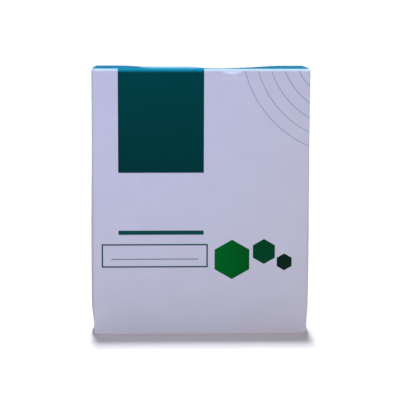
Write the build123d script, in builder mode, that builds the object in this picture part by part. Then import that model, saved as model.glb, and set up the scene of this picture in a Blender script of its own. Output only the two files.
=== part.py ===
from build123d import *
from math import asin, atan2, cos, degrees, radians, sin, sqrt
import os

# Folding carton with a tuck-in lid at the top and a glued base, made from one sheet of paperboard.
# The front panel faces -Y and the carton stands on Z = 0, with X = Y = 0 at the middle of its base.
# Every panel and flap is drawn as the line along the middle of the board, given the board's thickness.

# Outside of the closed carton, in millimetres
width = 120.0
depth = 34.0
height = 150.0

# Board and its creases, whose radii are measured outside
board = 0.45
fold_radius = 0.8
lid_fold_radius = 1.4
crease_start = 0.2
corner_relief = 0.1

# Glued side seam: the back panel's flap lies inside the right side panel
glue_flap_width = 13.0
glue_flap_taper = 3.5
glue_line = 0.08
seam_setback = 0.3

# Lid with its tuck flap and slit locks
tuck_length = 13.0
tuck_gap = 0.35
tuck_inset = 1.0
tuck_taper = 2.5
tuck_corner_radius = 7.0
slit_length = 9.0
slit_width = 0.5
back_edge_drop = 0.3

# Dust flaps, folded in from the side panels under the lid and over the base
dust_flap_length = 29.0
dust_flap_taper = 3.0
dust_flap_shoulder = 7.0
dust_flap_corner = 4.0
dust_flap_gap = 0.15
sweep_clearance = 0.4

# Base: the front panel's flap is glued over the back panel's flap
base_setback = 0.6
inner_base_length = 22.0

# Middle of the board, as seen from its outside
half_board = board / 2
mid_fold_radius = fold_radius - half_board
mid_lid_fold_radius = lid_fold_radius - half_board
side_x = width / 2 - half_board
face_y = depth / 2 - half_board

# Levels of the folds, from the outside sizes
dust_level = height - board - dust_flap_gap
sleeve_top = min(height - lid_fold_radius, dust_level - fold_radius) - crease_start
inner_base_level = board
base_dust_level = inner_base_level + board
sleeve_bottom = base_dust_level + fold_radius + crease_start
back_top = height - back_edge_drop
panel_width = width - 2 * (fold_radius + corner_relief)

# The lid turns about the middle of its crease, on the board's outer skin
crease_middle = 45.0
lid_fold_y = -depth / 2 + lid_fold_radius
lid_fold_z = height - lid_fold_radius
hinge_y = lid_fold_y - lid_fold_radius * cos(radians(crease_middle))
hinge_z = lid_fold_z + lid_fold_radius * sin(radians(crease_middle))

# The tuck flap leans in, so that its free edge swings through the same circle as its fold
tuck_back = depth / 2 - board - tuck_gap
tuck_fold_y = tuck_back - fold_radius
tuck_fold_z = height - fold_radius
swing_radius = tuck_back - hinge_y
fold_drop = degrees(atan2(hinge_z - tuck_fold_z, swing_radius))
tuck_lean = degrees(asin(tuck_length / 2 / swing_radius)) + fold_drop
tuck_tip_z = tuck_fold_z - tuck_length - fold_radius

# The dust flaps end clear of the ring that the tuck flap sweeps
swept_inside = sqrt(swing_radius**2 - (tuck_length / 2) ** 2) - board
dust_front = lid_fold_y + sweep_clearance
dust_rear = hinge_y + swept_inside - sweep_clearance
dust_tip = width / 2 - dust_flap_length
dust_shoulder = width / 2 - dust_flap_shoulder

# The glue flap lies against the inside of the right side panel
seam_x = side_x - board - glue_line

os.makedirs("parts", exist_ok=True)


def folded_flap(plane, wall, start, level, end, run):
    """A panel's end at wall, from start to level, folded there into a flap that reaches to end."""
    with BuildSketch(plane) as section:
        with BuildLine():
            FilletPolyline((wall, start), (wall, level), (end, level), radius=mid_fold_radius)
        trace(line_width=board)
    extrude(section.sketch, amount=run / 2, both=True)


def dust_flap(start, level):
    """The right side panel's end, folded over at level into a flap with cut-back edges."""
    with BuildPart() as flap:
        folded_flap(Plane.XZ, side_x, start, level, dust_tip, depth)
        with BuildSketch() as outline:
            with BuildLine():
                Polyline(
                    (width / 2, dust_front),
                    (dust_tip, dust_front + dust_flap_taper),
                    (dust_tip, dust_rear - dust_flap_taper),
                    (dust_shoulder, dust_rear - dust_flap_taper),
                    (dust_shoulder + dust_flap_taper, dust_rear),
                    (width / 2, dust_rear),
                    close=True,
                )
            make_face()
            fillet(outline.vertices().group_by(Axis.X)[0], radius=dust_flap_corner)
        extrude(amount=height, mode=Mode.INTERSECT)
    return flap.part


# The front, back and side panels, the glue flap, the dust flaps and the base, folded from one sheet
with BuildPart() as carton_body:
    with BuildSketch(Plane.XY.offset(sleeve_bottom)):
        with BuildLine():
            FilletPolyline(
                (seam_x, depth / 2 - glue_flap_width),
                (seam_x, face_y),
                (-side_x, face_y),
                (-side_x, -face_y),
                (side_x, -face_y),
                (side_x, depth / 2 - seam_setback),
                radius=mid_fold_radius,
            )
        trace(line_width=board)
    extrude(amount=sleeve_top - sleeve_bottom)

    # Slanted ends of the glue flap, which leave the side panel whole
    with BuildSketch(Plane.YZ.offset(seam_x + half_board)):
        for end, inward in ((sleeve_top, -1), (sleeve_bottom, 1)):
            with BuildLine():
                Polyline(
                    (depth / 2 - glue_flap_width, end),
                    (depth / 2 - fold_radius, end),
                    (depth / 2 - glue_flap_width, end + inward * glue_flap_taper),
                    close=True,
                )
            make_face()
    extrude(amount=-board, mode=Mode.SUBTRACT)

    # Back panel's free edge behind the lid
    with BuildSketch(Plane.XZ.offset(-depth / 2)):
        with Locations((0, sleeve_top)):
            Rectangle(panel_width, back_top - sleeve_top, align=(Align.CENTER, Align.MIN))
    extrude(amount=board)

    # Front panel's half of the lid crease
    with BuildSketch(Plane.YZ):
        with BuildLine():
            Line((-face_y, sleeve_top), (-face_y, lid_fold_z))
            CenterArc((lid_fold_y, lid_fold_z), mid_lid_fold_radius, 180, -crease_middle)
        trace(line_width=board)
    extrude(amount=panel_width / 2, both=True)

    # Base flaps of the front and back panels
    folded_flap(Plane.YZ, -face_y, sleeve_bottom, half_board, depth / 2 - base_setback, panel_width)
    folded_flap(
        Plane.YZ,
        face_y,
        sleeve_bottom,
        inner_base_level + half_board,
        depth / 2 - inner_base_length,
        panel_width,
    )

    # Dust flaps of the side panels, above and below
    for start, level in (
        (sleeve_top, dust_level - half_board),
        (sleeve_bottom, base_dust_level + half_board),
    ):
        side_flap = dust_flap(start, level)
        add(side_flap)
        mirror(side_flap, about=Plane.YZ)

carton_body.part.label = "carton_body"
export_step(carton_body.part, "parts/carton_body.step")

# The lid, from the middle of its crease over the top to the tuck flap
with BuildPart() as top_lid:
    with BuildSketch(Plane.YZ):
        with BuildLine():
            crease = CenterArc(
                (lid_fold_y, lid_fold_z), mid_lid_fold_radius, 180 - crease_middle, crease_middle - 90
            )
            Line(crease @ 1, (tuck_fold_y, height - half_board))
            tuck_fold = CenterArc(
                (tuck_fold_y, tuck_fold_z), mid_fold_radius, 90, -90 - tuck_lean
            )
            PolarLine(tuck_fold @ 1, tuck_length, direction=tuck_fold % 1)
        trace(line_width=board)
    extrude(amount=panel_width / 2, both=True)

    # Slit locks across both ends of the tuck fold
    for end in (-1, 1):
        with BuildSketch(Plane.YZ.offset(end * panel_width / 2)):
            with Locations((tuck_fold_y, tuck_fold_z)):
                Rectangle(
                    2 * fold_radius,
                    slit_width,
                    rotation=crease_middle,
                    align=(Align.MIN, Align.CENTER),
                )
        extrude(amount=-end * slit_length, mode=Mode.SUBTRACT)

    # Tuck flap narrower than the lid, tapered and rounded towards its free edge
    with BuildSketch(Plane.XZ):
        with BuildLine():
            Polyline(
                (panel_width / 2, tuck_fold_z - board),
                (panel_width / 2 - tuck_inset, tuck_fold_z - board),
                (panel_width / 2 - tuck_inset - tuck_taper, tuck_tip_z),
                (panel_width / 2, tuck_tip_z),
                close=True,
            )
        make_face()
        mirror(about=Plane.YZ)
    extrude(amount=depth / 2, both=True, mode=Mode.SUBTRACT)
    free_corners = top_lid.edges().filter_by(Axis.X, reverse=True).sort_by(Axis.Z)[:2]
    fillet(free_corners, radius=tuck_corner_radius)

top_lid.part.label = "top_lid"
export_step(top_lid.part, "parts/top_lid.step")
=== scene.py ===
"""Looks of a tuck-end folding carton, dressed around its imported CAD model.

The carton stands on Z = 0 with its front panel towards -Y. Lengths are in metres.
"""

from math import copysign, cos, exp, log, pi, radians, sin

import bmesh
import bpy
from bpy.props import FloatProperty, FloatVectorProperty, IntProperty, PointerProperty
from mathutils import Matrix, Vector
from mathutils.bvhtree import BVHTree


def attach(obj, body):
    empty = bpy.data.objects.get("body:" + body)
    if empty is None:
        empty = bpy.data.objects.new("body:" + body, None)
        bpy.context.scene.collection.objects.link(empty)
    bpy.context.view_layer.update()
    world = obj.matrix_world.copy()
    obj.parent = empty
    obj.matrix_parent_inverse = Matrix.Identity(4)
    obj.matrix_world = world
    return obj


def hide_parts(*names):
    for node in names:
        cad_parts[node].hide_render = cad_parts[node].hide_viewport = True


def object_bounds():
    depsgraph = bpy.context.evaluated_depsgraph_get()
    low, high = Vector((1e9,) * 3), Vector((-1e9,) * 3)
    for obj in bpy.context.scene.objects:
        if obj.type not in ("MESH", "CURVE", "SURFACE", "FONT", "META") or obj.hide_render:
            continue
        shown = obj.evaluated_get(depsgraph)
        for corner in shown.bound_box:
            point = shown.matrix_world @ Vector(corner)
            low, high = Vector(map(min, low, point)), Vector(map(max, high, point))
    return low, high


bl_info = {
    "name": "Tuck-End Carton",
    "version": (1, 0, 0),
    "blender": (4, 5, 0),
    "location": "View3D > Sidebar > Carton",
    "description": "Dresses a folding carton in printed, settled paperboard",
    "category": "Object",
}

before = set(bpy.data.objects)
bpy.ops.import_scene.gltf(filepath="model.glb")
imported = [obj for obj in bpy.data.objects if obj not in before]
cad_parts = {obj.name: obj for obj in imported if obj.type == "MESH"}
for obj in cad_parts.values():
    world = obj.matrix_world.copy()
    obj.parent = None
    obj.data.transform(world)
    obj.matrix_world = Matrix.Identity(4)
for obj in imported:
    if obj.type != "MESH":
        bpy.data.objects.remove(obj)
CAD_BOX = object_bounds()
LOW, HIGH = (Vector(corner) for corner in CAD_BOX)
X, Y, Z = range(3)
MM = 0.001

# Width of the picture in pixels, and of the camera's sensor in millimetres
PICTURE_SIZE = 400
SENSOR_WIDTH = 36.0

# Points that are closer than this merge
MERGE_DISTANCE = 0.001 * MM

# Angle up to which faces are one flat panel, and angle from which the edge between them is sharp
FLAT = radians(0.5)
SHARP = radians(40)

# A face with more board than this behind it is a cut edge, measured from just below its skin
THICKEST = 1.6 * MM
SKIN = 0.01 * MM

# A face of the front panel looks towards -Y by more than this
FRONT_FACING = 0.6

# Material slots of a piece of board
FRONT, OUTSIDE, INSIDE, EDGE = range(4)

# The Mix node's sockets for colours: its two inputs and its output
MIX_FIRST, MIX_SECOND, MIX_RESULT = 6, 7, 2

# How far behind the carton each sun stands for each metre of height
SUN_SLANTS = (0.12, 0.16, 0.22)

# Distance of the floor below the carton
FLOOR_GAP = 0.1 * MM


def srgb(red, green, blue):
    """A screen colour, 0 to 255, as the linear values that shaders take."""
    levels = (level / 255 for level in (red, green, blue))
    return tuple(v / 12.92 if v <= 0.04045 else ((v + 0.055) / 1.055) ** 2.4 for v in levels)


def number(name, description, default):
    """A setting without a unit."""
    return FloatProperty(name=name, description=description, default=default)


def share(name, description, default):
    """A setting from 0 to 1."""
    return FloatProperty(
        name=name, description=description, default=default, min=0.0, max=1.0, subtype="FACTOR"
    )


def length(name, description, default):
    """A setting in metres."""
    return FloatProperty(name=name, description=description, default=default, unit="LENGTH")


def angle(name, description, degrees):
    """A setting that is shown in degrees."""
    return FloatProperty(name=name, description=description, default=radians(degrees), subtype="ANGLE")


def power(name, description, default):
    """A setting in watts."""
    return FloatProperty(name=name, description=description, default=default, unit="POWER")


def spot(name, description, default):
    """The coordinates of a point, in metres."""
    return FloatVectorProperty(
        name=name,
        description=description,
        default=default,
        size=len(default),
        subtype="TRANSLATION",
        unit="LENGTH",
    )


def colour(name, description, default):
    """A colour in linear values."""
    return FloatVectorProperty(
        name=name, description=description, default=default, subtype="COLOR", min=0.0, max=1.0
    )


class CartonSettling(bpy.types.PropertyGroup):
    """How far the closed carton's board has settled out of true."""

    grid: length("Grid", "Size of the cells into which the flat board is cut so that it can bend", 4 * MM)
    fold_margin: length("Fold Margin", "Distance from the outside at which a fold has ended", 1.7 * MM)
    fine_grid: length("Fine Grid", "Height of the cells at the top, where the board bends most", 0.9 * MM)
    fine_height: length("Fine Height", "Distance from the top that is cut so fine", 7.2 * MM)
    crest_grid: length("Crest Grid", "Width of the cells at the buckle and behind the front fold", 1.8 * MM)
    crest_depth: length("Crest Depth", "Distance behind the front fold that is cut so", 8 * MM)

    corner: length("Corner", "Width of the rounding at an upright edge", 1.0 * MM)
    corner_rim: length("Corner Rim", "Distance from the ends within which an upright edge stops", 2.0 * MM)
    corner_gap: length("Corner Gap", "Distance from the ends to which it is drawn out", 0.5 * MM)

    settled_height: length("Settled Height", "Height at the top that takes up the lid's form", 28 * MM)
    lid_sag: length("Lid Sag", "How far the lid's rear edge dips between the dust flaps", 1.3 * MM)
    sag_middle: length("Sag Middle", "Middle of the lid's dip", 0.5 * MM)
    sag_start: length("Sag Start", "Distance from its middle at which the dip begins", 47 * MM)
    sag_end: length("Sag End", "Distance from its middle at which the dip is deepest", 20 * MM)

    lid_rise: length("Lid Rise", "How far the lid stands up behind the front fold", 1.1 * MM)
    rise_left: length("Rise Left", "Left end of the part of the lid that stands up", -35 * MM)
    rise_right: length("Rise Right", "Right end of the part of the lid that stands up", 0 * MM)
    rise_flank: length("Rise Flank", "Distance from its end over which that part rises", 7 * MM)
    rise_start: share("Rise Start", "Share of the depth at which the lid begins to rise", 0.02)
    rise_crest: share("Rise Crest", "Share of the depth at which it stands up most", 0.1)
    rise_end: share("Rise End", "Share of the depth at which it is level again", 0.5)

    press_place: length("Press Place", "Place along the front fold where a hand has pressed", 11 * MM)
    press_width: length("Press Width", "Half the width of the hollow across the lid", 9 * MM)
    press_depth: length("Press Depth", "Depth of the hollow across the lid", 0.3 * MM)
    press_start: share("Press Start", "Share of the depth at which the hollow begins", 0.01)
    press_end: share("Press End", "Share of the depth at which it is deepest", 0.5)

    left_bow: length("Left Bow", "How far the left side panel stands out where it bows most", 1.8 * MM)
    right_bow: length("Right Bow", "How far the right side panel stands out where it bows most", 1.6 * MM)
    bow_low: length("Bow Low", "Height above which the side panels bow most", 17 * MM)
    bow_high: length("Bow High", "Height up to which the side panels bow most", 45 * MM)
    bow_end: length("Bow End", "Height above which the side panels bow least", 120 * MM)
    bow_share: share("Bow Share", "Share of the bow that is left there", 0.55)
    bow_crest: share("Bow Crest", "Share of the depth at which a side panel bows most", 0.35)

    front_share: share("Front Share", "Share of the depth that goes with the front panel", 0.1)
    buckle_place: length("Buckle Place", "Place along the front fold where the front has buckled", 16.5 * MM)
    buckle_width: length("Buckle Width", "Half the width of the buckle below the fold", 5.5 * MM)
    buckle_height: length("Buckle Height", "Height of the buckle in the front panel", 5.6 * MM)
    buckle_drop: length("Buckle Drop", "Distance from the top at which the buckle begins", 0.9 * MM)
    buckle_depth: length("Buckle Depth", "How far the front panel stands out at the buckle", 0.98 * MM)


class CartonPrint(bpy.types.PropertyGroup):
    """Board and inks, the places of the print on the front panel and the lid, and the painted highlights,
    sheen and shade at the folds.
    """

    board: colour("Board", "Coated outside of the board", srgb(199, 198, 214))
    mottle: share("Mottle", "How far the coated board varies in tone", 0.015)
    board_gloss: share("Board Gloss", "Gloss of the plain coated board", 0.1)
    print_gloss: share("Print Gloss", "Gloss of the printed board", 0.02)
    roughness: share("Roughness", "Roughness of the varnish", 0.75)
    dull_clouds: share("Dull Clouds", "How much rougher the varnish is in clouds", 0.1)
    ink_polish: share("Ink Polish", "How much smoother the varnish is over ink", 0.05)
    bare_board: colour("Bare Board", "Uncoated inside of the board", srgb(192, 190, 193))
    edge_tone: number("Edge Tone", "Cut edge of the board, as a multiple of the bare board", 1.08)
    inside_fibre: length("Inside Fibre", "Width of the fibres on the bare inside", 0.25 * MM)
    edge_fibre: length("Edge Fibre", "Width of the fibres at the cut edge", 0.1 * MM)

    field_ink: colour("Field Ink", "Dark field at the top fold", srgb(0, 64, 66))
    field_foot_ink: colour("Field Foot Ink", "Dark field at its lower edge", srgb(0, 54, 53))
    # Painted highlight: lighter cyan on the dark field where it runs over the front fold, on the front and
    # just behind the fold on the lid
    fold_highlight_ink: colour("Fold Ink", "Dark field where it is stretched over the fold", srgb(20, 130, 152))
    # Painted shade: a warmer band along the lower fold, where the fold meets the floor
    foot_shade_ink: colour("Foot", "Board rubbed bare along the lower fold", srgb(206, 198, 206))
    # Painted highlight: pale cyan tint on the front fold's white, on the front and on the lid's part of the
    # fold
    crease_highlight_ink: colour("Crease", "Board where it is stretched over the front fold", srgb(185, 217, 226))
    # Painted sheen: a pale reflection on the lid just behind the front fold, over the field's width
    sheen_ink: colour("Worn Ink", "Ink worn pale along the crest of the front fold", srgb(126, 188, 218))
    # Painted highlight: near-white in a V below the front fold at the buckle, and low on the front fold
    white_highlight_ink: colour("Stretched Board", "Board stretched white at the buckle", srgb(223, 230, 252))
    # The lid's print, painted lighter and bluer than the field's ink as painted light from above
    lid_print_and_top_light: colour("Lid Ink", "Lid, from its front fold to the bleed", srgb(14, 114, 146))
    line_ink: colour("Line Ink", "Rule and frame of the label panel", srgb(14, 72, 66))
    arc_ink: colour("Arc Ink", "Fine arcs in the upper right corner", srgb(156, 158, 184))
    leaf_ink: colour("Leaf Ink", "Largest hexagon", srgb(0, 98, 34))
    moss_ink: colour("Moss Ink", "Middle hexagon", srgb(4, 66, 38))
    night_ink: colour("Night Ink", "Smallest hexagon", srgb(12, 38, 28))
    soft_edge: length("Soft Edge", "Width over which the edge of an ink fades", 0.06 * MM)

    field_left: length("Field Left", "Left edge of the dark field", -46.2 * MM)
    field_right: length("Field Right", "Right edge of the dark field", 1.5 * MM)
    field_bottom: length("Field Bottom", "Lower edge of the dark field", 92.2 * MM)
    # The painted highlight on the field fades in between these two distances from the top
    fade_start: length("Fade Start", "Distance from the top at which the field begins to pale", 2.1 * MM)
    fade_end: length("Fade End", "Distance from the top at which the field is palest", 0.9 * MM)

    rule_bottom: length("Rule Bottom", "Lower edge of the heavy rule", 57.2 * MM)
    rule_height: length("Rule Height", "Thickness of the heavy rule", 2.4 * MM)
    panel_left: length("Panel Left", "Left edge of the label panel", -55.3 * MM)
    panel_right: length("Panel Right", "Right edge of the label panel", 3.5 * MM)
    panel_bottom: length("Panel Bottom", "Lower edge of the label panel", 38.9 * MM)
    panel_height: length("Panel Height", "Height of the label panel", 12.6 * MM)
    panel_stroke: length("Panel Stroke", "Width of the label panel's frame", 0.8 * MM)
    writing_inset: length("Writing Inset", "Distance of the writing line from the panel's sides", 5 * MM)
    writing_height: length("Writing Height", "Height of the writing line above the panel's foot", 4.2 * MM)
    writing_stroke: length("Writing Stroke", "Width of the writing line", 0.4 * MM)

    arc_right: length("Arc Right", "Distance of the arcs' centre to the right of the front", 25 * MM)
    arc_above: length("Arc Above", "Distance of the arcs' centre above the front", 15 * MM)
    arc_count: IntProperty(name="Arc Count", description="Number of arcs", default=5, min=1)
    arc_radius: length("Arc Radius", "Radius of the smallest arc", 35 * MM)
    arc_step: length("Arc Step", "Distance between the arcs", 7 * MM)
    arc_stroke: length("Arc Stroke", "Width of an arc's line", 0.5 * MM)

    leaf_place: spot("Leaf Place", "Middle of the largest hexagon", (17.5 * MM, 43 * MM))
    leaf_size: length("Leaf Size", "Half the width of the largest hexagon", 9.8 * MM)
    leaf_light: length("Leaf Light", "Place from which the largest hexagon darkens", 8 * MM)
    leaf_dark: length("Leaf Dark", "Place at which it is darkest", 27 * MM)
    leaf_shade: share("Leaf Shade", "Share of its light that is left there", 0.72)
    moss_place: spot("Moss Place", "Middle of the middle hexagon", (35.5 * MM, 47.5 * MM))
    moss_size: length("Moss Size", "Half the width of the middle hexagon", 6.2 * MM)
    night_place: spot("Night Place", "Middle of the smallest hexagon", (47 * MM, 41.5 * MM))
    night_size: length("Night Size", "Half the width of the smallest hexagon", 4.2 * MM)

    # Height of the painted shade along the lower fold
    foot_shade_height: length("Foot Height", "Height of the rubbed foot", 1.2 * MM)
    # Where the painted highlight lies on the front fold: near-white low on it, pale cyan at its top
    front_crease: length("Front Crease", "How far the stretched fold reaches down the front", 1.6 * MM)
    crest_start: length("Crest Start", "Distance from the top at which the fold's white is tinted", 1.12 * MM)
    crest_end: length("Crest End", "Distance from the top at which it is tinted most", 0.48 * MM)
    # Place and shape of the painted V highlight at the buckle
    v_highlight_place: length("Stretch Place", "Place along the front fold of the white V mark", 17 * MM)
    v_highlight_drop: length("Stretch Drop", "Distance of the mark's lowest point from the top", 2.3 * MM)
    v_highlight_slope: number("Stretch Slope", "Rise of the mark's arms", 0.17)
    v_highlight_width: length("Stretch Width", "Half the width of the mark", 7.0 * MM)
    v_highlight_height: length("Stretch Height", "Half the height of the mark's arms", 1.3 * MM)

    bleed: length("Bleed", "How far the lid's ink runs on past the tuck fold", 5 * MM)
    # The lid's part of the front fold carries the painted highlight instead of the lid's ink
    lid_crease: length("Lid Crease", "Width of the front fold that the lid's ink leaves bare", 1.2 * MM)
    # The painted highlight on the lid's field fades out by this distance
    lid_fade: length("Lid Fade", "Distance from the front at which the field has its full ink", 3.6 * MM)
    lid_inset: length("Lid Inset", "Distance of the lid's ends from the sides", 0.9 * MM)
    crack_reach: length("Crack Reach", "Distance from the lid's ends within which ink cracks", 0.8 * MM)
    crack_share: share("Crack Share", "Share of the ink that a crack takes", 0.6)
    # Place of the painted sheen on the lid
    sheen_start: length("Wear Start", "Place along the field's fold where the wear begins", -35 * MM)
    sheen_end: length("Wear End", "Place along the field's fold from which the ink is worn", -27 * MM)
    sheen_stop: length("Wear Stop", "Distance from the field's right edge over which it ends", 7 * MM)
    sheen_front: length("Wear Front", "Distance from the front at which the wear begins", 0.96 * MM)
    sheen_full: length("Wear Full", "Distance from the front at which the wear is full", 2.4 * MM)
    sheen_reach: length("Wear Reach", "Distance from the front at which the wear begins to fade", 3.2 * MM)
    sheen_gone: length("Wear Gone", "Distance from the front at which the wear is gone", 6.4 * MM)


class CartonStage(bpy.types.PropertyGroup):
    """Camera, lamps and surroundings."""

    camera_place: spot("Camera Place", "Where the camera stands", (-29.3 * MM, -790.3 * MM, 193.7 * MM))
    camera_yaw: angle("Camera Yaw", "Turn to the right", 2.125)
    camera_pitch: angle("Camera Pitch", "Tilt downwards", 8.585)
    camera_roll: angle("Camera Roll", "Lean to the left", 0.2)
    focal_pixels: number("Focal Length", "Focal length in pixels of the picture", 1400.0)

    sky: colour("Sky", "Light from all around", srgb(255, 250, 242))
    sky_level: number("Sky Level", "Strength of the light from all around", 0.27)
    floor_size: length("Floor Size", "Width of the floor", 80.0)
    floor: colour("Floor", "Pale floor as it is seen", srgb(236, 228, 221))
    floor_bounce: colour("Floor Bounce", "Floor as it lights the carton", srgb(169, 166, 162))
    floor_lift: colour("Floor Lift", "Light that the floor gives off to the carton", (0.36, 0.345, 0.325))
    floor_glow: colour("Floor Glow", "White added to the floor as it is seen", (0.02, 0.02, 0.02))

    key_power: power("Key Power", "Lamp at the upper left", 0.14)
    key_colour: colour("Key Colour", "Colour of the key lamp", srgb(79, 143, 255))
    key_size: length("Key Size", "Width of the key lamp", 0.2)
    key_spread: angle("Key Spread", "Width of the key lamp's beam", 55)
    key_place: spot("Key Place", "Where the key lamp hangs", (-0.08, -0.52, 0.3))
    key_target: spot("Key Target", "What the key lamp faces", (-0.05, 0.0, 0.13))

    fill_power: power("Fill Power", "Low lamp in front", 0.612)
    fill_colour: colour("Fill Colour", "Colour of the fill lamp", srgb(255, 237, 178))
    fill_size: length("Fill Size", "Width of the fill lamp", 0.5)
    fill_spread: angle("Fill Spread", "Width of the fill lamp's beam", 60)
    fill_place: spot("Fill Place", "Where the fill lamp hangs", (-0.05, -1.1, 0.1))
    fill_target: spot("Fill Target", "What the fill lamp faces", (-0.05, 0.0, 0.03))

    daylight_level: number("Daylight Level", "Light from above, all suns together", 3.7)
    daylight_colour: colour("Daylight Colour", "Colour of the light from above", srgb(228, 240, 253))
    daylight_spread: angle("Daylight Spread", "Width of each sun", 3)
    daylight_side: number("Daylight Side", "Place of the suns to the right, for each metre of height", -0.006)


class Shade:
    """A node's output that takes part in sums: each operation adds its own Math node."""

    def __init__(self, nodes, socket):
        self.nodes = nodes
        self.socket = socket

    def math(self, operation, *operands):
        return self.nodes.add("ShaderNodeMath", {"operation": operation}, dict(enumerate(operands)))

    def __add__(self, other):
        return self.math("ADD", self, other)

    def __radd__(self, other):
        return self.math("ADD", other, self)

    def __sub__(self, other):
        return self.math("SUBTRACT", self, other)

    def __rsub__(self, other):
        return self.math("SUBTRACT", other, self)

    def __mul__(self, other):
        return self.math("MULTIPLY", self, other)

    def __rmul__(self, other):
        return self.math("MULTIPLY", other, self)

    def __pow__(self, other):
        return self.math("POWER", self, other)

    def __abs__(self):
        return self.math("ABSOLUTE", self)

    def larger(self, other):
        return self.math("MAXIMUM", self, other)

    def smaller(self, other):
        return self.math("MINIMUM", self, other)

    def to_and_fro(self, reach):
        return self.math("PINGPONG", self, reach)

    def between(self, low, high):
        """0 at low and 1 at high, held to that range, with low and high in either order."""
        ends = {"Value": self, "From Min": low, "From Max": high}
        return self.nodes.add("ShaderNodeMapRange", {}, ends)


class Nodes:
    """The node tree of a material or the world."""

    def __init__(self, owner):
        owner.use_nodes = True
        self.owner = owner
        self.tree = owner.node_tree

    def feed(self, socket, value):
        if isinstance(value, Shade):
            self.tree.links.new(value.socket, socket)
        else:
            socket.default_value = value

    def add(self, kind, settings, inputs, output=0):
        """Adds a node, sets it up, feeds its sockets and gives one of its outputs."""
        node = self.tree.nodes.new(kind)
        for name, value in settings.items():
            setattr(node, name, value)
        for name, value in inputs.items():
            self.feed(node.inputs[name], value)
        return Shade(self, node.outputs[output])

    def place(self):
        """The X, Y and Z of the point on the piece."""
        point = self.add("ShaderNodeTexCoord", {}, {}, output="Object")
        return [self.add("ShaderNodeSeparateXYZ", {}, {"Vector": point}, output=axis) for axis in "XYZ"]

    def noise(self, size, detail, stretch=(1.0, 1.0, 1.0)):
        """Noise whose features are about as large as size, drawn out along the axes by stretch."""
        point = self.add("ShaderNodeTexCoord", {}, {}, output="Object")
        scale = tuple(1 / (size * factor) for factor in stretch)
        point = self.add("ShaderNodeMapping", {}, {"Vector": point, "Scale": scale})
        return self.add("ShaderNodeTexNoise", {}, {"Vector": point, "Scale": 1.0, "Detail": detail})

    def mix(self, factor, first, second):
        """The first colour where factor is 0 and the second where it is 1."""
        first, second = (c if isinstance(c, Shade) else (*c, 1.0) for c in (first, second))
        inputs = {"Factor": factor, MIX_FIRST: first, MIX_SECOND: second}
        return self.add("ShaderNodeMix", {"data_type": "RGBA"}, inputs, output=MIX_RESULT)

    def bump(self, height, strength, distance):
        """A surface normal that follows a height."""
        return self.add("ShaderNodeBump", {}, {"Strength": strength, "Distance": distance, "Height": height})

    def principled(self, linked, constants):
        """Feeds the material's own shader."""
        shader = self.tree.nodes["Principled BSDF"]
        for name, value in {**linked, **constants}.items():
            self.feed(shader.inputs[name], value)
        return self.owner


def shaded(tone, factor):
    """A colour made lighter or darker."""
    return tuple(min(1.0, level * factor) for level in tone)


def rectangle(x, z, left, right, bottom, top):
    """Signed distance to an upright rectangle, negative inside."""
    across = abs(x - (left + right) / 2) - (right - left) / 2
    upward = abs(z - (bottom + top) / 2) - (top - bottom) / 2
    return across.larger(upward)


def hexagon(x, z, centre, half_width):
    """Signed distance to a hexagon that stands on one corner, negative inside."""
    across = abs(x - centre[0])
    upward = abs(z - centre[1])
    slanted = across * cos(pi / 3) + upward * sin(pi / 3)
    return across.larger(slanted) - half_width


def inked(distance, inks):
    """1 inside an ink's outline and 0 outside it."""
    return distance.between(inks.soft_edge / 2, -inks.soft_edge / 2)


def rubbed(nodes, distance, reach):
    """Flecks where ink has cracked off within reach of a fold."""
    flecks = nodes.noise(size=0.5 * MM, detail=4.0, stretch=(1.6, 1.0, 1.0)).between(0.52, 0.66)
    return flecks * distance.between(reach, 0.0)


def arcs(x, z, inks):
    """Where the thin arcs lie, around a point beyond the upper right corner."""
    across = x - (HIGH.x + inks.arc_right)
    upward = z - (HIGH.z + inks.arc_above)
    past_first = (across**2 + upward**2) ** 0.5 - inks.arc_radius
    line = past_first.to_and_fro(inks.arc_step / 2) - inks.arc_stroke / 2
    middle = (inks.arc_count - 1) / 2 * inks.arc_step
    ends = abs(past_first - middle) - (middle + inks.arc_stroke)
    return inked(line.larger(ends), inks)


def lines(x, z, inks):
    """Where the heavy rule lies, and the label panel's frame with its writing line."""
    rule_top = inks.rule_bottom + inks.rule_height
    rule = rectangle(x, z, inks.field_left, inks.field_right, inks.rule_bottom, rule_top)
    panel_top = inks.panel_bottom + inks.panel_height
    panel = rectangle(x, z, inks.panel_left, inks.panel_right, inks.panel_bottom, panel_top)
    panel_frame = abs(panel) - inks.panel_stroke / 2
    left = inks.panel_left + inks.writing_inset
    right = inks.panel_right - inks.writing_inset
    bottom = inks.panel_bottom + inks.writing_height
    writing_line = rectangle(x, z, left, right, bottom, bottom + inks.writing_stroke)
    return inked(rule.smaller(panel_frame).smaller(writing_line), inks)


def highlighted(x, z, inks):
    """Where a near-white highlight is painted at the buckle, in a shallow V below the fold."""
    beside = abs(x - inks.v_highlight_place)
    arm = HIGH.z - inks.v_highlight_drop + beside * inks.v_highlight_slope
    across = beside.between(inks.v_highlight_width, inks.v_highlight_width / 3)
    return across * abs(z - arm).between(inks.v_highlight_height, 0.0)


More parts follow.
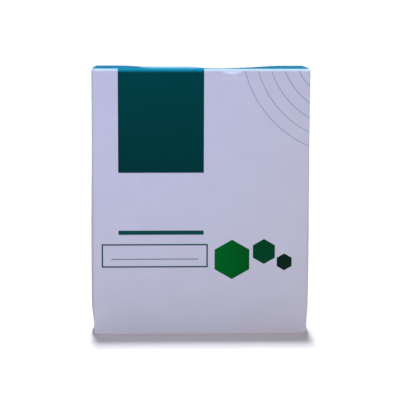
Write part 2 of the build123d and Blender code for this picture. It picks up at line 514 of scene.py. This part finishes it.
def front_inks_and_painted_light(nodes, x, y, z, inks):
    """The front panel's inks with the painted highlights and shade, each as its mask and colour, in the order
    they are laid down.
    """
    top = HIGH.z
    # Painted shade: a warmer band along the lower fold
    foot = z.between(inks.foot_shade_height, inks.foot_shade_height / 2)
    # Painted highlight on the front fold: near-white low on it, pale cyan towards its top
    crease = z.between(top - inks.front_crease, top - inks.front_crease / 2)
    crest = z.between(top - inks.crest_start, top - inks.crest_end)
    crease_highlight_ink = nodes.mix(crest, inks.white_highlight_ink, inks.crease_highlight_ink)

    # The field runs on over the fold, so its outline ends well above the top
    field = inked(rectangle(x, z, inks.field_left, inks.field_right, inks.field_bottom, 2 * top), inks)
    field_ink = nodes.mix(z.between(inks.field_bottom, top), inks.field_foot_ink, inks.field_ink)
    # Painted highlight: the field turns lighter cyan towards the front fold
    near_fold = z.between(top - inks.fade_start, top - inks.fade_end)
    field_ink = nodes.mix(near_fold, field_ink, inks.fold_highlight_ink)

    leaf = hexagon(x, z, inks.leaf_place, inks.leaf_size)
    moss = hexagon(x, z, inks.moss_place, inks.moss_size)
    night = hexagon(x, z, inks.night_place, inks.night_size)
    leaf_side = x.between(inks.leaf_light, inks.leaf_dark)
    leaf_ink = nodes.mix(leaf_side, inks.leaf_ink, shaded(inks.leaf_ink, inks.leaf_shade))
    return [
        (arcs(x, z, inks), inks.arc_ink),
        (foot, inks.foot_shade_ink),
        (crease, crease_highlight_ink),
        # Painted highlight at the buckle
        (highlighted(x, z, inks), inks.white_highlight_ink),
        (field, field_ink),
        (lines(x, z, inks), inks.line_ink),
        (inked(leaf, inks), leaf_ink),
        (inked(moss, inks), inks.moss_ink),
        (inked(night, inks), inks.night_ink),
    ]


def lid_inks_and_painted_light(nodes, x, y, z, inks):
    """The lid's inks, which begin behind the front fold and run on over the tuck fold to the bleed, with the
    painted highlight on the fold and a painted sheen behind it.
    """
    front = LOW.y
    flood = inked(HIGH.z - inks.bleed - z, inks)
    cracked = rubbed(nodes, HIGH.x - inks.lid_inset - abs(x), inks.crack_reach)
    behind_fold = inked(front + inks.lid_crease - y, inks)
    field_middle = (inks.field_left + inks.field_right) / 2
    field = inked(abs(x - field_middle) - (inks.field_right - inks.field_left) / 2, inks)

    # Painted sheen: a pale reflection behind the front fold over the field, broken up by noise
    gleaming = x.between(inks.sheen_start, inks.sheen_end)
    gleaming = gleaming * x.between(inks.field_right, inks.field_right - inks.sheen_stop)
    gleaming = gleaming * y.between(front + inks.sheen_front, front + inks.sheen_full)
    gleaming = gleaming * y.between(front + inks.sheen_gone, front + inks.sheen_reach)
    sheen_breaks = nodes.noise(size=1.5 * MM, detail=4.0, stretch=(3.0, 1.0, 1.0)).between(0.2, 0.5)
    # Painted highlight: lighter cyan on the field just behind the front fold, fading into the lid's ink
    past_crest = y.between(front + inks.lid_crease, front + inks.lid_fade)
    ink = nodes.mix(past_crest, inks.fold_highlight_ink, inks.lid_print_and_top_light)
    ink = nodes.mix(gleaming * sheen_breaks, ink, inks.sheen_ink)
    return [
        # Painted highlight on the lid's part of the front fold
        (flood * (1 - behind_fold), inks.crease_highlight_ink),
        (flood * field, ink),
        # The lid's print, painted lighter for the light from above
        (flood * behind_fold * (1 - cracked * inks.crack_share), nodes.mix(field, inks.lid_print_and_top_light, ink)),
    ]


def no_inks(nodes, x, y, z, inks):
    """A panel without print."""
    return []


def coated_board(name, inks, laid_marks, gloss):
    """Clay-coated board under a satin varnish, with the inks and the painted highlights, sheen and shade laid
    over its white.
    """
    nodes = Nodes(bpy.data.materials.new(name))
    x, y, z = nodes.place()
    cloud = nodes.noise(size=14 * MM, detail=3.0)
    grain = nodes.noise(size=0.35 * MM, detail=3.0)
    ripple = nodes.noise(size=22 * MM, detail=1.0)

    deep = shaded(inks.board, 1 - inks.mottle)
    pale = shaded(inks.board, 1 + inks.mottle)
    tone = nodes.mix(cloud.between(0.3, 0.7), deep, pale)
    covered = 0.0
    for mask, ink in laid_marks(nodes, x, y, z, inks):
        tone = nodes.mix(mask * grain.between(0.05, 0.2), tone, ink)
        covered = mask.larger(covered)
    roughness = inks.roughness + inks.dull_clouds * cloud - inks.ink_polish * covered
    normal = nodes.bump(grain * 0.06 + ripple, strength=0.25, distance=0.4 * MM)
    return nodes.principled(
        {"Base Color": tone, "Roughness": roughness, "Normal": normal},
        {"Specular IOR Level": gloss},
    )


def fibre_board(name, tone, fibre_width):
    """Uncoated board: short matted fibres, most of them lying along the height of the carton."""
    nodes = Nodes(bpy.data.materials.new(name))
    fibres = nodes.noise(fibre_width, detail=5.0, stretch=(1.0, 1.0, 6.0))
    cloud = nodes.noise(size=9 * MM, detail=3.0)
    specks = nodes.noise(size=0.8 * MM, detail=1.0).between(0.7, 0.76)
    deep, pale, dull, speck = (shaded(tone, factor) for factor in (0.86, 1.06, 0.9, 0.6))
    matted = nodes.mix(fibres.between(0.25, 0.75), deep, pale)
    matted = nodes.mix(cloud * 0.25, matted, dull)
    matted = nodes.mix(specks * 0.35, matted, speck)
    normal = nodes.bump(fibres, strength=0.4, distance=0.1 * MM)
    return nodes.principled(
        {"Base Color": matted, "Roughness": 0.8 + 0.15 * cloud, "Normal": normal},
        {"Specular IOR Level": 0.25},
    )


def bare_finishes(name, inks):
    """The board's bare inside and its cut edge."""
    edge = shaded(inks.bare_board, inks.edge_tone)
    return [
        fibre_board(f"{name}_inside", inks.bare_board, inks.inside_fibre),
        fibre_board(f"{name}_edge", edge, inks.edge_fibre),
    ]


def smooth_step(low, high, value):
    """0 at low and 1 at high, eased at both, with low and high in either order."""
    part = min(1.0, max(0.0, (value - low) / (high - low)))
    return part * part * (3 - 2 * part)


def cut_across(board, axis, start, end, cell):
    """Cuts the board from start to end along an axis into cells of about one size."""
    normal = Vector.Fill(3)
    normal[axis] = 1.0
    cells = round((end - start) / cell)
    for cut in range(cells + 1):
        bmesh.ops.bisect_plane(
            board,
            geom=board.verts[:] + board.edges[:] + board.faces[:],
            dist=MERGE_DISTANCE,
            plane_co=normal * (start + (end - start) * cut / cells),
            plane_no=normal,
        )


def cut_board(node, settling):
    """A copy of a CAD node's board, merged, with its flat faces cut into cells that can bend."""
    board = bmesh.new()
    board.from_mesh(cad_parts[node].data)
    bmesh.ops.remove_doubles(board, verts=board.verts, dist=MERGE_DISTANCE)
    bmesh.ops.dissolve_limit(board, angle_limit=FLAT, verts=board.verts, edges=board.edges)

    low = LOW + Vector.Fill(3, settling.fold_margin)
    high = HIGH - Vector.Fill(3, settling.fold_margin)
    fine = HIGH.z - settling.fine_height
    buckle_left = settling.buckle_place - 2 * settling.buckle_width
    buckle_right = settling.buckle_place + 2 * settling.buckle_width
    cut_across(board, X, low.x, high.x, settling.grid)
    cut_across(board, X, buckle_left, buckle_right, settling.crest_grid)
    cut_across(board, Y, low.y, high.y, settling.grid)
    cut_across(board, Y, low.y, low.y + settling.crest_depth, settling.crest_grid)
    cut_across(board, Z, low.z, fine, settling.grid)
    cut_across(board, Z, fine, high.z, settling.fine_grid)
    return board


def sort_faces(board):
    """Gives each face its material slot, by the board behind it and the way it looks."""
    tree = BVHTree.FromBMesh(board)
    middle = (LOW + HIGH) / 2
    for face in board.faces:
        point = face.calc_center_median()
        inward = -face.normal
        far_side = tree.ray_cast(point + inward * SKIN, inward)[3]
        out = point - middle
        outward = sum(face.normal[i] * out[i] / (HIGH[i] - LOW[i]) for i in (X, Y, Z))
        if far_side is None or far_side > THICKEST:
            face.material_index = EDGE
        elif outward < 0:
            face.material_index = INSIDE
        else:
            face.material_index = FRONT if face.normal.y < -FRONT_FACING else OUTSIDE


def lid_drop(x, rear, settling):
    """How far the lid lies below its true level, at x and at a share of the depth from the front."""
    from_dip = abs(x - settling.sag_middle)
    sag = settling.lid_sag * (1 - smooth_step(settling.sag_end, settling.sag_start, from_dip))

    from_press = (x - settling.press_place) / settling.press_width
    hollow = settling.press_depth * exp(-(from_press**2))
    hollow *= smooth_step(settling.press_start, settling.press_end, rear)

    left, right, flank = settling.rise_left, settling.rise_right, settling.rise_flank
    ridge = settling.lid_rise * smooth_step(left - flank, left + flank, x)
    ridge *= smooth_step(right + flank, right - flank, x)
    ridge *= smooth_step(settling.rise_start, settling.rise_crest, rear)
    ridge *= smooth_step(settling.rise_end, settling.rise_crest, rear)
    return rear * sag + hollow - ridge


def side_bow(x, z, rear, settling):
    """How far a side panel stands out, at a height and at a share of the depth from the front."""
    bow = settling.left_bow if x < 0 else settling.right_bow
    bow *= smooth_step(0, settling.bow_low, z)
    bow *= 1 - (1 - settling.bow_share) * smooth_step(settling.bow_high, settling.bow_end, z)
    skewed = min(1.0, max(0.0, rear)) ** log(0.5, settling.bow_crest)
    return bow * sin(pi * skewed)


def front_buckle(x, z, settling):
    """How far the front panel stands out where it has buckled below the fold."""
    down = (HIGH.z - settling.buckle_drop - z) / settling.buckle_height
    if not 0 < down < 1:
        return 0.0
    across = (x - settling.buckle_place) / settling.buckle_width
    return settling.buckle_depth * exp(-(across**2)) * sin(pi * down) ** 2


def settle(board, settling):
    """Draws out the upright edges, bends the lid, bows the side panels and buckles the front panel."""
    for vert in board.verts:
        x, y, z = vert.co
        rear = (y - LOW.y) / (HIGH.y - LOW.y)
        if HIGH.x - abs(x) < settling.corner and HIGH.y - abs(y) < settling.corner:
            if z - LOW.z < settling.corner_rim:
                vert.co.z = LOW.z + settling.corner_gap
            elif HIGH.z - z < settling.corner_rim:
                vert.co.z = HIGH.z - settling.corner_gap
        height_share = smooth_step(HIGH.z - settling.settled_height, HIGH.z, z)
        vert.co.z -= lid_drop(x, rear, settling) * height_share
        if abs(x) > HIGH.x - settling.fold_margin:
            vert.co.x += copysign(side_bow(x, z, rear, settling), x)
        if rear < settling.front_share:
            vert.co.y -= front_buckle(x, z, settling)


def settled_board(node, settling):
    """A CAD node's board, cut into cells, with its faces sorted and its panels settled."""
    board = cut_board(node, settling)
    sort_faces(board)
    settle(board, settling)
    return board


def finish_board(name, board, finishes, node, body):
    """Turns the settled board into a piece that stands for a CAD node."""
    for face in board.faces:
        face.smooth = True
    for edge in board.edges:
        edge.smooth = edge.calc_face_angle(pi) < SHARP
    mesh = bpy.data.meshes.new(name)
    board.to_mesh(mesh)
    board.free()
    for finish in finishes:
        mesh.materials.append(finish)
    piece = bpy.data.objects.new(name, mesh)
    bpy.context.collection.objects.link(piece)
    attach(piece, body)
    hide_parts(node)


class CARTON_OT_walls(bpy.types.Operator):
    """Dresses the front, back and side panels, the dust flaps and the base"""

    bl_idname = "carton.walls"
    bl_label = "Carton Walls"

    def execute(self, context):
        inks = context.scene.carton_print
        board = settled_board("carton_body", context.scene.carton_settling)
        printed = coated_board("printed_front", inks, front_inks_and_painted_light, inks.print_gloss)
        plain = coated_board("plain_board", inks, no_inks, inks.board_gloss)
        finishes = [printed, plain, *bare_finishes("board", inks)]
        finish_board("carton_walls", board, finishes, "carton_body", "carton")
        return {"FINISHED"}


class CARTON_OT_lid(bpy.types.Operator):
    """Dresses the lid and its tuck flap"""

    bl_idname = "carton.lid"
    bl_label = "Tuck Lid"

    def execute(self, context):
        inks = context.scene.carton_print
        board = settled_board("top_lid", context.scene.carton_settling)
        printed = coated_board("printed_lid", inks, lid_inks_and_painted_light, inks.print_gloss)
        finishes = [printed, printed, *bare_finishes("lid", inks)]
        finish_board("tuck_lid", board, finishes, "top_lid", "lid")
        return {"FINISHED"}


def seen(nodes):
    """1 for rays that show a surface to the camera or in a reflection, and 0 for rays that light."""
    ways = ("Is Camera Ray", "Is Glossy Ray", "Is Transmission Ray")
    camera, glossy, transmission = (nodes.add("ShaderNodeLightPath", {}, {}, output=way) for way in ways)
    return camera.larger(glossy).larger(transmission)


def lay_floor(stage):
    """A pale floor that keeps the carton's shadow and is seen as white beyond it."""
    ground = bmesh.new()
    bmesh.ops.create_grid(ground, x_segments=1, y_segments=1, size=stage.floor_size / 2)
    bmesh.ops.translate(ground, verts=ground.verts, vec=(0, 0, LOW.z - FLOOR_GAP))
    mesh = bpy.data.meshes.new("floor")
    ground.to_mesh(mesh)
    ground.free()
    floor = bpy.data.objects.new("floor", mesh)
    bpy.context.collection.objects.link(floor)

    nodes = Nodes(bpy.data.materials.new("pale_floor"))
    nodes.principled(
        {
            "Base Color": nodes.mix(seen(nodes), stage.floor_bounce, stage.floor),
            "Emission Color": nodes.mix(seen(nodes), stage.floor_lift, stage.floor_glow),
        },
        {"Emission Strength": 1.0, "Roughness": 0.9, "Specular IOR Level": 0.0},
    )
    mesh.materials.append(nodes.owner)


def light_sky(stage):
    """Even light from all around, seen as white."""
    world = bpy.data.worlds.new("studio")
    bpy.context.scene.world = world
    nodes = Nodes(world)
    backdrop = nodes.mix(seen(nodes), shaded(stage.sky, stage.sky_level), (1.0, 1.0, 1.0))
    nodes.feed(nodes.tree.nodes["Background"].inputs["Color"], backdrop)


def hang_lamp(name, kind, place, target, settings):
    """A lamp that faces its target."""
    lamp = bpy.data.lights.new(name, kind)
    for setting, value in settings.items():
        setattr(lamp, setting, value)
    hung = bpy.data.objects.new(name, lamp)
    hung.location = place
    hung.rotation_euler = (Vector(target) - Vector(place)).to_track_quat("-Z", "Y").to_euler()
    bpy.context.collection.objects.link(hung)


def light_carton(stage):
    """A cool key at the upper left, a low fill, and daylight from above that throws the shadow forward."""
    key = {
        "energy": stage.key_power,
        "spread": stage.key_spread,
        "size": stage.key_size,
        "color": stage.key_colour,
    }
    hang_lamp("key", "AREA", stage.key_place, stage.key_target, key)
    fill = {
        "energy": stage.fill_power,
        "spread": stage.fill_spread,
        "size": stage.fill_size,
        "color": stage.fill_colour,
    }
    hang_lamp("fill", "AREA", stage.fill_place, stage.fill_target, fill)
    daylight = {
        "energy": stage.daylight_level / len(SUN_SLANTS),
        "angle": stage.daylight_spread,
        "color": stage.daylight_colour,
    }
    for index, slant in enumerate(SUN_SLANTS):
        place = (stage.daylight_side, slant, 1.0)
        hang_lamp(f"daylight_{index}", "SUN", place, (0.0, 0.0, 0.0), daylight)


def stand_camera(stage):
    """A camera at the picture's viewing angle."""
    view = bpy.data.cameras.new("camera")
    view.sensor_width = SENSOR_WIDTH
    view.lens = stage.focal_pixels / PICTURE_SIZE * SENSOR_WIDTH
    camera = bpy.data.objects.new("camera", view)
    camera.matrix_world = (
        Matrix.Translation(stage.camera_place)
        @ Matrix.Rotation(-stage.camera_yaw, 4, "Z")
        @ Matrix.Rotation(pi / 2 - stage.camera_pitch, 4, "X")
        @ Matrix.Rotation(stage.camera_roll, 4, "Z")
    )
    bpy.context.collection.objects.link(camera)
    bpy.context.scene.camera = camera


class CARTON_OT_stage(bpy.types.Operator):
    """Sets up the floor, the lamps, the sky and the camera"""

    bl_idname = "carton.stage"
    bl_label = "Stage"

    def execute(self, context):
        stage = context.scene.carton_stage
        context.scene.view_settings.view_transform = "Standard"
        lay_floor(stage)
        light_sky(stage)
        light_carton(stage)
        stand_camera(stage)
        return {"FINISHED"}


class CARTON_PT_sidebar(bpy.types.Panel):
    """Lists the carton's pieces and their settings"""

    bl_label = "Tuck-End Carton"
    bl_idname = "CARTON_PT_sidebar"
    bl_space_type = "VIEW_3D"
    bl_region_type = "UI"
    bl_category = "Carton"

    def draw(self, context):
        for operator in OPERATORS:
            self.layout.operator(operator.bl_idname)
        for name in GROUPS:
            settings = getattr(context.scene, name)
            box = self.layout.box()
            for setting in settings.bl_rna.properties:
                if setting.identifier not in {"rna_type", "name"}:
                    box.prop(settings, setting.identifier)


OPERATORS = (CARTON_OT_walls, CARTON_OT_lid, CARTON_OT_stage)
GROUPS = {
    "carton_settling": CartonSettling,
    "carton_print": CartonPrint,
    "carton_stage": CartonStage,
}


def register():
    for cls in (*GROUPS.values(), *OPERATORS, CARTON_PT_sidebar):
        bpy.utils.register_class(cls)
    for name, group in GROUPS.items():
        setattr(bpy.types.Scene, name, PointerProperty(type=group))


def unregister():
    for name in GROUPS:
        delattr(bpy.types.Scene, name)
    for cls in (CARTON_PT_sidebar, *reversed(OPERATORS), *reversed(GROUPS.values())):
        bpy.utils.unregister_class(cls)


def main():
    register()
    bpy.ops.carton.walls()
    bpy.ops.carton.lid()
    bpy.ops.carton.stage()


if __name__ == "__main__":
    main()
